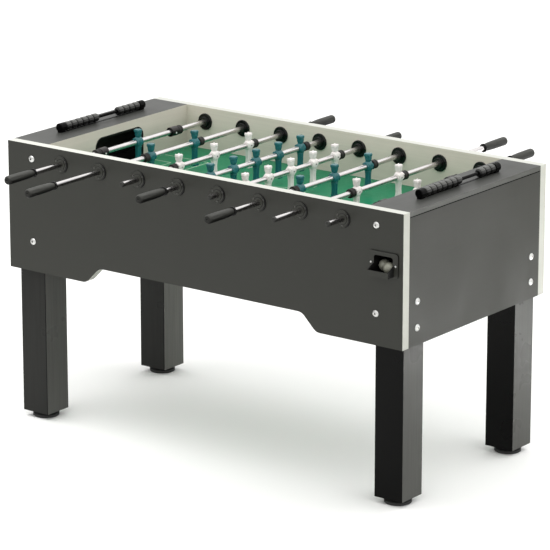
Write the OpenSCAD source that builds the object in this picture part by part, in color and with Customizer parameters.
// Foosball table for two teams, eight sliding and spinning player rods.
// Origin on the floor under the middle of the table.
// +X runs along the table to the right-hand goal, +Y across it, +Z up. Millimetres.

/* [Cabinet] */
// length over the side panels
table_length = 1472; // [1440:1:1520]
// width over the two side panels
table_width = 736; // [720:1:760]
// height of the top edge above the floor
table_height = 888; // [870:1:920]
// height of a side panel
panel_height = 400; // [380:1:420]
// thickness of a side panel
side_thickness = 30; // [26:1:32]
// thickness of the end panels, ledges and goal walls
board = 16; // [12:1:18]
// length of the field between the goal walls
field_length = 1198; // [1198:1:1220]
// depth of the field surface below the top edge
field_depth = 135; // [125:1:140]
// thickness of the playfield board
field_board = 12; // [9:1:15]

/* [Side panel notch] */
// half width of the notch at the lower edge
notch_half = 432; // [380:1:460]
// height of the notch
notch_rise = 52; // [30:1:60]
// rounding of the notch corners
notch_round = 34; // [10:1:40]

/* [Goals] */
// width of the goal mouth
goal_width = 222; // [190:1:230]
// height of the goal mouth above the field
goal_height = 103; // [80:1:104]
// rounding of the two upper corners
goal_round = 25; // [10:1:40]

/* [Legs and feet] */
// outside of the square leg
leg_size = 98; // [80:1:98]
// height of the top of a leg above the floor
leg_top = 660; // [600:1:680]
// wall of the hollow leg
leg_wall = 12; // [9:1:15]
// height of a levelling foot below the leg
foot_height = 20; // [16:1:30]
// diameter of the foot pad
foot_diameter = 82; // [60:1:86]

/* [Rods] */
// distance from rod to rod
rod_pitch = 150; // [148:1:152]
// depth of the rod axes below the top edge
rod_depth = 46; // [42:1:50]
// outside diameter of the rod tube
rod_diameter = 16; // [12:0.1:16]
// wall of the rod tube
rod_wall = 1.8; // [1:0.1:3]
// radial running clearance of bearings, bumpers and beads
running_fit = 0.05; // [0.02:0.01:0.1]
// length of a grip
grip_length = 122; // [100:1:122]
// diameter over the corners of the grip
grip_diameter = 28; // [26:1:34]

/* [Rods as slid along by the players] */
// goalie rod on the left, positive is away from the near side
slid_1 = 0; // [-60:1:60]
// left two-man rod
slid_2 = -15; // [-60:1:60]
// far team three-man rod
slid_3 = -1; // [-60:1:60]
// near team five-man rod
slid_4 = 13; // [-60:1:60]
// far team five-man rod
slid_5 = -12; // [-60:1:60]
// near team three-man rod
slid_6 = 4; // [-60:1:60]
// right two-man rod
slid_7 = 15; // [-60:1:60]
// goalie rod on the right
slid_8 = 3; // [-60:1:60]

/* [Players] */
// reach of the foot below the rod axis
foot_reach = 72; // [66:1:73]
// height of the head above the rod axis
head_reach = 40; // [36:1:42]

/* [Scorers] */
// length of a scorer over its end posts
scorer_length = 408; // [380:1:460]
// diameter of a scorer bead
bead_diameter = 27; // [24:1:30]
// spacing of beads that touch
bead_pitch = 26; // [24:1:29]

/* [Hidden] */
$fn = 64;
eps = 0.01;
panel_bottom = table_height - panel_height;
half_width = table_width / 2;
inner_half_width = half_width - side_thickness;
half_length = table_length / 2;
well_half = field_length / 2;
field_z = table_height - field_depth;
rod_z = table_height - rod_depth;
ledge_z = table_height - board;
wall_back = well_half + board;
wall_foot_z = field_z - 63;

// legs stand in the corners behind the side and end panels
leg_x = half_length - board - leg_size / 2;
leg_y = inner_half_width - leg_size / 2;
leg_base = 40;
stud_radius = 5;
stud_length = 45;
foot_gap = 0.3;

// bolts through the panels into legs and corner blocks
bolt_radius = 4;
bolt_head_radius = 10.5;
bolt_reach = 52;
side_bolt_x = 642;
side_bolt_zs = [rod_z, panel_bottom + 94];
end_bolt_y = 296;
end_bolt_zs = [panel_bottom + 130, panel_bottom + 52];

// a bearing is an outer half with a sleeve and an inner half round the sleeve
flange_radius = 26.5;
flange_outer = 4;
flange_inner = 5;
hub_inner = 12;
hub_radius = 16;
sleeve_radius = 12;
bearing_screw_ring = 20;
bearing_screw_radius = 1.8;
bearing_screw_length = 22;

// distances along a rod from its middle, by number of men: 1, 2, 3, 5
bumper_length = 20;
bumper_radius = 14;
collar_length = 32;
collar_radius = 15;
part_gap = 0.3;
plug_head = 8;
plug_stem = 15;
neck_radius = 10.5;
octagon_over_round = 1.04;

// ball return in the near panel at the right and the far panel at the left
ball_radius = 17.5;
cup_x = 670;
cup_half = 33;
cup_wall = 3;
cup_floor_z = 704;
cup_top_z = 757;
cup_lip_z = 718;
cup_reach = 32;
cup_back = 32;
plate_thickness = 4;
plate_half = 50;
plate_bottom_z = 697;
plate_top_z = 769;
chute_rise = 15;
chute_wall = 4;

// scorer on each ledge
scorer_x = (well_half + half_length) / 2 + 4.5;
scorer_z = table_height + bead_diameter / 2 + 2;
bead_gap = 0.4;
post_foot = 7;
bar_radius = 5;

rod_men = [1, 2, 3, 5, 5, 3, 2, 1];
rod_slid = [slid_1, slid_2, slid_3, slid_4, slid_5, slid_6, slid_7, slid_8];
// -1: handle on the near side, players look to +X; +1: handle on the far side, look to -X
rod_side = [-1, -1, 1, -1, 1, -1, 1, 1];

// ---- distances along a rod ----

function rod_x(n) = (n - 4.5) * rod_pitch;
function men_pitch(men) = men == 5 ? 112 : men == 3 ? 172 : 214;
function bumper_middle(men) = men == 5 ? 250.5 : men == 2 ? 133.5 : 198.5;
function grip_start(men) = men == 5 ? 442 : men == 2 ? 558 : 492;
function stub_end(men) = men == 5 ? 397 : men == 2 ? 512 : 447;

// ---- small helpers ----

// points along an arc from angle a to angle b
function arc(x, y, r, a, b, steps = 6) =
    [for (i = [0:steps]) [x + r * cos(a + (b - a) * i / steps), y + r * sin(a + (b - a) * i / steps)]];

// outline of a rectangle with rounded corners, lower corners r0, upper corners r1
function rounded_box(x0, y0, x1, y1, r0, r1) = concat(
    arc(x0 + r0, y0 + r0, r0, 180, 270),
    arc(x1 - r0, y0 + r0, r0, 270, 360),
    arc(x1 - r1, y1 - r1, r1, 0, 90),
    arc(x0 + r1, y1 - r1, r1, 90, 180)
);

// an outline drawn in X and Z, given a thickness from y0 to y1
module slab_xz(y0, y1) {
    translate([0, y1, 0]) rotate([90, 0, 0]) linear_extrude(height = y1 - y0) children();
}

// an outline drawn in Y and Z, given a thickness from x0 to x1
module slab_yz(x0, x1) {
    translate([x0, 0, 0]) rotate([90, 0, 90]) linear_extrude(height = x1 - x0) children();
}

module block(x0, x1, y0, y1, z0, z1) {
    translate([x0, y0, z0]) cube([x1 - x0, y1 - y0, z1 - z0]);
}

// a round bar along +Y, from y0 to y1
module bar_y(r, y0, y1) {
    translate([0, y0, 0]) rotate([-90, 0, 0]) cylinder(r = r, h = y1 - y0);
}

// a turned shape whose profile is [radius, distance along +Y]
module turned_y(profile) {
    rotate([-90, 0, 0]) rotate_extrude() polygon(profile);
}

module both_ends() {
    children();
    rotate([0, 0, 180]) children();
}

// ---- cabinet ----

module notch_outline() {
    low = panel_bottom;
    high = panel_bottom + notch_rise;
    r = notch_round;
    shift = r * tan(22.5);
    inner = notch_half - notch_rise;
    right = concat(
        arc(inner - shift, high - r, r, 90, 45),
        arc(notch_half + shift, low + r, r, 225, 270)
    );
    left = [for (i = [len(right) - 1:-1:0]) [-right[i][0], right[i][1]]];
    polygon(concat([[notch_half + shift, low - 1], [-notch_half - shift, low - 1]], left, right));
}

// a side panel at the near side, with its ball return at the right
module side_panel() {
    outer = -half_width;
    difference() {
        slab_xz(outer, outer + side_thickness) difference() {
            translate([-half_length, panel_bottom]) square([table_length, panel_height]);
            notch_outline();
            translate([cup_x - cup_half - cup_wall, cup_floor_z - cup_wall])
                square([2 * (cup_half + cup_wall), cup_top_z - cup_floor_z + 2 * cup_wall]);
        }
        for (n = [1:8]) translate([rod_x(n), outer, rod_z]) bar_y(sleeve_radius, -1, side_thickness + 1);
        for (x = [-side_bolt_x, side_bolt_x], z = side_bolt_zs)
            translate([x, outer, z]) bar_y(bolt_radius, -1, side_thickness + 1);
        for (n = [1:8]) bearing_screw_sites(n)
            bar_y(bearing_screw_radius, flange_outer - 1, bearing_screw_length);
    }
}

module near_side_panel() color("#454540") side_panel();

module far_side_panel() color("#454540") rotate([0, 0, 180]) side_panel();

module end_bolt_holes(length) {
    for (y = [-end_bolt_y, end_bolt_y], z = end_bolt_zs)
        translate([half_length + 1, y, z]) rotate([0, -90, 0]) cylinder(r = bolt_radius, h = length + 1);
}

module end_panels() color("#5f605a") both_ends() difference() {
    block(half_length - board, half_length, -inner_half_width, inner_half_width, panel_bottom, ledge_z);
    end_bolt_holes(board + 1);
}

module goal_outline() {
    polygon(concat(
        [[-goal_width / 2, field_z], [goal_width / 2, field_z]],
        arc(goal_width / 2 - goal_round, field_z + goal_height - goal_round, goal_round, 0, 90),
        arc(goal_round - goal_width / 2, field_z + goal_height - goal_round, goal_round, 90, 180)
    ));
}

module goal_walls() color("#a3a694") both_ends() {
    slab_yz(well_half, wall_back) difference() {
        translate([-inner_half_width, wall_foot_z]) square([2 * inner_half_width, ledge_z - wall_foot_z]);
        goal_outline();
    }
}

module end_ledges() color("#6e6f6a") both_ends()
    block(well_half, half_length, -inner_half_width, inner_half_width, ledge_z, table_height);

module playfield() color("#2d8c5f")
    block(-well_half, well_half, -inner_half_width, inner_half_width, field_z - field_board, field_z);

// cleats and cross beams glued into one frame under the board
module field_frame() {
    top = field_z - field_board;
    cleat = 20;
    beam = 40;
    color("#c9b48a") union() {
        for (side = [-1, 1]) block(
            -well_half, well_half,
            min(side * inner_half_width, side * (inner_half_width - cleat)),
            max(side * inner_half_width, side * (inner_half_width - cleat)),
            top - cleat, top
        );
        for (x = [-400, 0, 400]) block(
            x - beam / 2, x + beam / 2, cleat - inner_half_width - eps, inner_half_width - cleat + eps,
            top - beam, top
        );
    }
}

module corner_blocks() color("#c9b48a") both_ends() for (side = [-1, 1]) difference() {
    depth = 40;
    y = side * (inner_half_width - depth / 2);
    block(wall_back, half_length - board, y - depth / 2, y + depth / 2, ledge_z - 72, ledge_z);
    translate([side_bolt_x, side * half_width, side_bolt_zs[0]])
        rotate([side * 90, 0, 0]) cylinder(r = bolt_radius, h = bolt_reach);
}

// ---- legs and feet ----

module leg(sx, sy) {
    inside = leg_size / 2 - leg_wall;
    difference() {
        translate([sx * leg_x, sy * leg_y, 0]) difference() {
            block(-leg_size / 2, leg_size / 2, -leg_size / 2, leg_size / 2, foot_height, leg_top);
            block(-inside, inside, -inside, inside, foot_height + leg_base, leg_top + 1);
            cylinder(r = stud_radius + running_fit, h = foot_height + leg_base + 1);
        }
        translate([sx * side_bolt_x, sy * half_width, side_bolt_zs[1]])
            rotate([sy * 90, 0, 0]) cylinder(r = bolt_radius, h = bolt_reach);
        for (z = end_bolt_zs) translate([sx * half_length, sy * end_bolt_y, z])
            rotate([0, -sx * 90, 0]) cylinder(r = bolt_radius, h = bolt_reach);
    }
}

module near_legs() color("#33332f") for (side = [-1, 1]) leg(side, -1);

module far_legs() color("#33332f") for (side = [-1, 1]) leg(side, 1);

// a pad with a bevelled rim, a hexagon to turn it and a stud that screws into the leg
module foot(sx, sy) {
    r = foot_diameter / 2;
    pad = foot_height - 8;
    hexagon = 17;
    translate([sx * leg_x, sy * leg_y, 0]) {
        rotate_extrude() polygon([[0, 0], [r - 2, 0], [r, 2], [r, pad - 3], [r - 4, pad], [0, pad]]);
        translate([0, 0, pad - eps]) cylinder(r = hexagon, h = foot_height - pad - foot_gap, $fn = 6);
        cylinder(r = stud_radius, h = foot_height - foot_gap + stud_length);
    }
}

module left_near_foot() color("#1b1b1b") foot(-1, -1);

module right_near_foot() color("#1b1b1b") foot(1, -1);

module left_far_foot() color("#1b1b1b") foot(-1, 1);

module right_far_foot() color("#1b1b1b") foot(1, 1);

// ---- bearings and fasteners ----

// a bearing at the near side, its outer face towards -Y
module bearing_outer() {
    out = -flange_outer;
    back = side_thickness + hub_inner;
    bore = rod_diameter / 2 + running_fit;
    difference() {
        turned_y([
            [bore, out + 0.6], [bore + 0.6, out], [hub_radius - 1, out], [hub_radius, out + 1],
            [hub_radius, out + 1.6], [flange_radius - 3, out + 1.6], [flange_radius - 2.4, out + 0.8],
            [flange_radius - 1, out + 0.8], [flange_radius, out + 1.8], [flange_radius, 0],
            [sleeve_radius, 0], [sleeve_radius, back], [bore, back]
        ]);
        for (a = [90, 210, 330]) rotate([0, a, 0]) translate([bearing_screw_ring, 0, 0])
            bar_y(bearing_screw_radius, -flange_outer - 1, 1);
    }
}

module bearing_inner() {
    face = side_thickness;
    turned_y([
        [sleeve_radius, face], [flange_radius, face], [flange_radius, face + flange_inner - 1.5],
        [flange_radius - 1.5, face + flange_inner], [hub_radius + 1, face + flange_inner],
        [hub_radius, face + flange_inner + 1], [hub_radius, face + hub_inner - 1],
        [hub_radius - 1, face + hub_inner], [sleeve_radius, face + hub_inner]
    ]);
}

module bearing_screw_sites(n) {
    translate([rod_x(n), -half_width, rod_z]) for (a = [90, 210, 330])
        rotate([0, a, 0]) translate([bearing_screw_ring, -flange_outer, 0]) children();
}

module at_bearings() both_ends() for (n = [1:8]) translate([rod_x(n), -half_width, rod_z]) children();

module bearing_outer_halves() color("#222222") at_bearings() bearing_outer();

module bearing_inner_halves() color("#151515") at_bearings() bearing_inner();

// pan head on the recessed face of the flange, shank into the panel
module bearing_screws() color("#8a8a86") both_ends() for (n = [1:8]) bearing_screw_sites(n) turned_y([
    [0, 0.2], [2.4, 0.2], [3.4, 1.0], [3.4, 1.6], [bearing_screw_radius, 1.6],
    [bearing_screw_radius, bearing_screw_length - 3], [0, bearing_screw_length]
]);

// cap bolt with a domed head, its head under side at y = 0, shank to +Y
module cap_bolt() turned_y([
    [0, -5], [4, -4.7], [7.5, -3.6], [9.6, -1.9], [bolt_head_radius, -0.8], [bolt_head_radius, 0],
    [bolt_radius, 0], [bolt_radius, bolt_reach - 2], [bolt_radius - 1.5, bolt_reach], [0, bolt_reach]
]);

module cabinet_bolts() color("#c8c8c4") both_ends() {
    for (x = [-side_bolt_x, side_bolt_x], z = side_bolt_zs) translate([x, -half_width, z]) cap_bolt();
    for (y = [-end_bolt_y, end_bolt_y], z = end_bolt_zs)
        translate([-half_length, y, z]) rotate([0, 0, -90]) cap_bolt();
}

// ---- ball return ----

// plate outside the near panel, a tube through it and a scoop in front
module ball_return_cup() {
    face = -half_width;
    front = face - cup_reach;
    back = face + side_thickness + 2;
    left = cup_x - cup_half;
    right = cup_x + cup_half;
    slab_xz(face - plate_thickness, face) difference() {
        polygon(rounded_box(cup_x - plate_half, plate_bottom_z, cup_x + plate_half, plate_top_z, 8, 8));
        polygon(rounded_box(left, cup_floor_z, right, cup_top_z, 0.5, 8));
    }
    slab_xz(face - eps, back) difference() {
        translate([left - cup_wall, cup_floor_z - cup_wall])
            square([right - left + 2 * cup_wall, cup_top_z - cup_floor_z + 2 * cup_wall]);
        polygon(rounded_box(left, cup_floor_z, right, cup_top_z, 0.5, 8));
    }
    block(left - cup_wall, right + cup_wall, front, face, cup_floor_z - cup_wall, cup_floor_z);
    block(left - cup_wall, right + cup_wall, front, front + cup_wall, cup_floor_z - eps, cup_lip_z);
    for (x = [left - cup_wall, right]) slab_yz(x, x + cup_wall) polygon([
        [front, cup_floor_z - eps], [front, cup_lip_z], [face - plate_thickness, cup_lip_z + 14],
        [face - plate_thickness + 1, cup_lip_z + 14], [face - plate_thickness + 1, cup_floor_z - eps]
    ]);
}

module ball_return_cups() color("#3a3a36") both_ends() ball_return_cup();

// sloping trough behind the goal mouth, down to the cup
module ball_chute() {
    x0 = wall_back + 1;
    x1 = half_length - board - 1;
    far_end = goal_width / 2 + 18;
    near_end = cup_back + 2 - half_width;
    low = cup_floor_z + 1;
    high = low + chute_rise;
    top = field_z - 3;
    slab_yz(x0, x1) polygon([
        [near_end, low - chute_wall], [far_end, high - chute_wall], [far_end, high], [near_end, low]
    ]);
    for (x = [x0, x1 - chute_wall]) slab_yz(x, x + chute_wall) polygon([
        [near_end, low - chute_wall], [far_end, high - chute_wall], [far_end, top], [near_end, top]
    ]);
    block(x0, x1, far_end - eps, far_end + chute_wall, high - chute_wall, top);
    // plates either side of the cup turn the ball into it
    for (side = [-1, 1]) {
        wall = side < 0 ? x0 : x1;
        mouth = cup_x + side * (cup_half + cup_wall);
        block(
            min(wall, mouth), max(wall, mouth), near_end, near_end + chute_wall,
            low - chute_wall, top
        );
    }
}

module ball_chutes() color("#2b2b28") both_ends() ball_chute();

module balls() color("#e9e8dc") {
    z = cup_floor_z + ball_radius + 0.05;
    translate([cup_x - 15, 25 - half_width, z]) sphere(r = ball_radius);
    translate([cup_x + 14.5, 5 - half_width, z]) sphere(r = ball_radius);
}

// ---- scorers ----

function bead_y(k) = -scorer_length / 2 + (k + 0.5) * bead_pitch;
function bead_y_far(k) = scorer_length / 2 - (k + 0.5) * bead_pitch;

module bead_profile(bore) {
    r = bead_diameter / 2;
    h = (bead_pitch - bead_gap) / 2;
    turned_y([
        [bore, -h], [r - 4, -h], [r - 1.5, 1.5 - h], [r, 5 - h], [r, h - 5], [r - 1.5, h - 1.5], [r - 4, h],
        [bore, h]
    ]);
}

module bead(x, y, bore) translate([x, y, scorer_z]) bead_profile(bore);

// bar between two posts, with a thin keel that lies on the ledge
module scorer_rail() translate([scorer_x, 0, 0]) {
    half = scorer_length / 2;
    r = bead_diameter / 2;
    translate([0, 0, scorer_z]) bar_y(bar_radius, -half + 1, half - 1);
    block(-4, 4, -half + 1, half - 1, table_height, table_height + 1.5);
    for (side = [-1, 1]) translate([0, side * (half - bead_pitch / 2), 0]) {
        length = bead_pitch / 2 - bead_gap / 2;
        difference() {
            union() {
                translate([0, 0, scorer_z]) turned_y([
                    [0, -length], [r - 2, -length], [r, 2 - length],
                    [r, length - 2], [r - 2, length], [0, length]
                ]);
                block(-post_foot, post_foot, 2 - length, length - 2, table_height, scorer_z);
            }
            translate([0, 0, scorer_z + r - 3]) cylinder(r = 3.5, h = 4);
        }
    }
}

module scorer_rails() color("#222222") both_ends() scorer_rail();

// beads on the near end of a rail, then those on the far end
module fixed_beads(x, near, far) {
    bore = bar_radius + running_fit;
    for (k = [1:near]) bead(x, bead_y(k), bore);
    for (k = [1:far]) bead(x, bead_y_far(k), bore);
}

module scorer_beads() color("#2a2a28") {
    fixed_beads(-scorer_x, 5, 4);
    fixed_beads(scorer_x, 6, 3);
}

module left_lead_bead() color("#2a2a28") bead(-scorer_x, bead_y(6), bar_radius + running_fit);

module right_lead_bead() color("#2a2a28") bead(scorer_x, bead_y(7), bar_radius + running_fit);

// ---- rods ----

// put a rod drawn with its handle towards -Y and its middle at 0 into the table
module in_table(n) {
    turn = rod_side[n - 1] < 0 ? 0 : 180;
    translate([rod_x(n), rod_slid[n - 1], rod_z]) rotate([0, 0, turn]) children();
}

module tube(men) {
    r = rod_diameter / 2;
    end = stub_end(men) - plug_head;
    start = -grip_start(men) - grip_length + 14;
    difference() {
        bar_y(r, start, end);
        bar_y(r - rod_wall, start - 1, end + 1);
    }
}

// octagonal grip with a turned neck and end, and the plug in the other end of the tube
module grip(men) {
    r = rod_diameter / 2;
    g = grip_diameter / 2;
    l = grip_length;
    translate([0, -grip_start(men), 0]) difference() {
        intersection() {
            turned_y([
                [0, -l], [g - 8, -l], [g - 3.5, -l + 2], [g - 0.8, -l + 6], [g, -l + 12],
                [g - 0.8, -l / 2 - 8],
                [g, -28], [g - 1, -20], [g - 3.5, -13], [neck_radius, -8], [neck_radius, -0.5],
                [neck_radius - 0.5, 0], [0, 0]
            ]);
            rotate([-90, 22.5, 0]) translate([0, 0, -l - 1])
                cylinder(r = g * octagon_over_round, h = l + 2, $fn = 8);
        }
        bar_y(r, 14 - l, 1);
    }
    translate([0, stub_end(men), 0]) turned_y([
        [0, 0], [r - 2.5, 0], [r - 0.6, -1.5], [r, -3.5], [r, -plug_head], [r - rod_wall, -plug_head],
        [r - rod_wall, 1 - plug_head - plug_stem], [r - rod_wall - 1, -plug_head - plug_stem],
        [0, -plug_head - plug_stem]
    ]);
}

module bumper_pair(men) for (side = [-1, 1]) translate([0, side * bumper_middle(men), 0]) {
    bore = rod_diameter / 2 + running_fit;
    h = bumper_length / 2;
    turned_y([
        [bore, -h], [bumper_radius - 2, -h], [bumper_radius, 2 - h], [bumper_radius, h - 2],
        [bumper_radius - 2, h], [bore, h]
    ]);
}

// clamped on the goalie rod just inside the bumpers
module collar_pair() for (side = [-1, 1]) {
    r = collar_radius;
    outer = bumper_middle(1) - bumper_length / 2 - part_gap;
    translate([0, side * (outer - collar_length / 2), 0]) difference() {
        h = collar_length / 2;
        turned_y([
            [rod_diameter / 2, -h], [r - 1.5, -h], [r, 1.5 - h],
            [r, h - 1.5], [r - 1.5, h], [rod_diameter / 2, h]
        ]);
        rotate([0, 100, 0]) translate([0, 0, rod_diameter / 2]) cylinder(r = 3, h = r);
    }
}

// side view of a player looking to +X, in X and Z about the rod axis
module player_side() {
    h = head_reach;
    f = foot_reach;
    polygon([
        [-7, h - 1], [-9, h - 4], [-9.5, h - 12], [-7.5, h - 19], [-5.5, h - 21], [-6, h - 24],
        [-11, h - 28], [-12.5, 4], [-11.5, -9], [-8, -15], [-7.5, -22], [-6.5, 24 - f],
        [-8, 14 - f], [-10.5, 10 - f], [-11, 3 - f], [-9, -f],
        [9, -f], [11, 3 - f], [10.5, 10 - f], [7, 15 - f], [6, 24 - f],
        [7.5, -22], [9, -15], [12, -9], [13, 4], [11, h - 28], [6, h - 24], [6, h - 21], [9, h - 19],
        [10, h - 12], [9, h - 4], [7, h - 1], [5, h], [-5, h]
    ]);
}

// front view of a player, in Y and Z about the rod axis
module player_front() {
    h = head_reach;
    f = foot_reach;
    half = [
        [7, h], [9.5, h - 4], [10, h - 9], [8.5, h - 18], [5.5, h - 21], [6, h - 24],
        [12, h - 27], [14.5, h - 32], [14.5, -6], [12.5, -12], [9, -16], [9.5, -24],
        [7.5, 22 - f], [8, 14 - f], [10, 8 - f], [10, 1.5 - f], [8.5, -f]
    ];
    mirrored = [for (i = [len(half) - 1:-1:0]) [-half[i][0], half[i][1]]];
    polygon(concat(half, mirrored));
}

module player() {
    difference() {
        intersection() {
            slab_xz(-20, 20) player_side();
            slab_yz(-20, 20) player_front();
        }
        bar_y(rod_diameter / 2, -20, 20);
    }
}

module team_men(men) {
    for (i = [0:men - 1]) translate([0, (i - (men - 1) / 2) * men_pitch(men), 0]) player();
}

module rod_tube(n) color("#d9dadb") in_table(n) tube(rod_men[n - 1]);

module rod_grip(n) color("#222222") in_table(n) grip(rod_men[n - 1]);

module rod_bumpers(n) color("#2a2624") in_table(n) bumper_pair(rod_men[n - 1]);

module rod_team(n) color(rod_side[n - 1] < 0 ? "#236e73" : "#e1deda") in_table(n) team_men(rod_men[n - 1]);

module rod_collars(n) color("#2a2624") in_table(n) collar_pair();

near_side_panel();
far_side_panel();
end_panels();
goal_walls();
end_ledges();
playfield();
field_frame();
corner_blocks();
near_legs();
far_legs();
left_near_foot();
right_near_foot();
left_far_foot();
right_far_foot();
bearing_outer_halves();
bearing_inner_halves();
bearing_screws();
cabinet_bolts();
ball_return_cups();
ball_chutes();
balls();
scorer_rails();
scorer_beads();
left_lead_bead();
right_lead_bead();
rod_collars(1);  // goalie_1_collars
rod_collars(8);  // goalie_8_collars
rod_tube(1);  // rod_1_tube
rod_team(1);  // rod_1_player
rod_bumpers(1);  // rod_1_bumpers
rod_grip(1);  // rod_1_grip
rod_tube(2);  // rod_2_tube
rod_team(2);  // rod_2_players
rod_bumpers(2);  // rod_2_bumpers
rod_grip(2);  // rod_2_grip
rod_tube(3);  // rod_3_tube
rod_team(3);  // rod_3_players
rod_bumpers(3);  // rod_3_bumpers
rod_grip(3);  // rod_3_grip
rod_tube(4);  // rod_4_tube
rod_team(4);  // rod_4_players
rod_bumpers(4);  // rod_4_bumpers
rod_grip(4);  // rod_4_grip
rod_tube(5);  // rod_5_tube
rod_team(5);  // rod_5_players
rod_bumpers(5);  // rod_5_bumpers
rod_grip(5);  // rod_5_grip
rod_tube(6);  // rod_6_tube
rod_team(6);  // rod_6_players
rod_bumpers(6);  // rod_6_bumpers
rod_grip(6);  // rod_6_grip
rod_tube(7);  // rod_7_tube
rod_team(7);  // rod_7_players
rod_bumpers(7);  // rod_7_bumpers
rod_grip(7);  // rod_7_grip
rod_tube(8);  // rod_8_tube
rod_team(8);  // rod_8_player
rod_bumpers(8);  // rod_8_bumpers
rod_grip(8);  // rod_8_grip
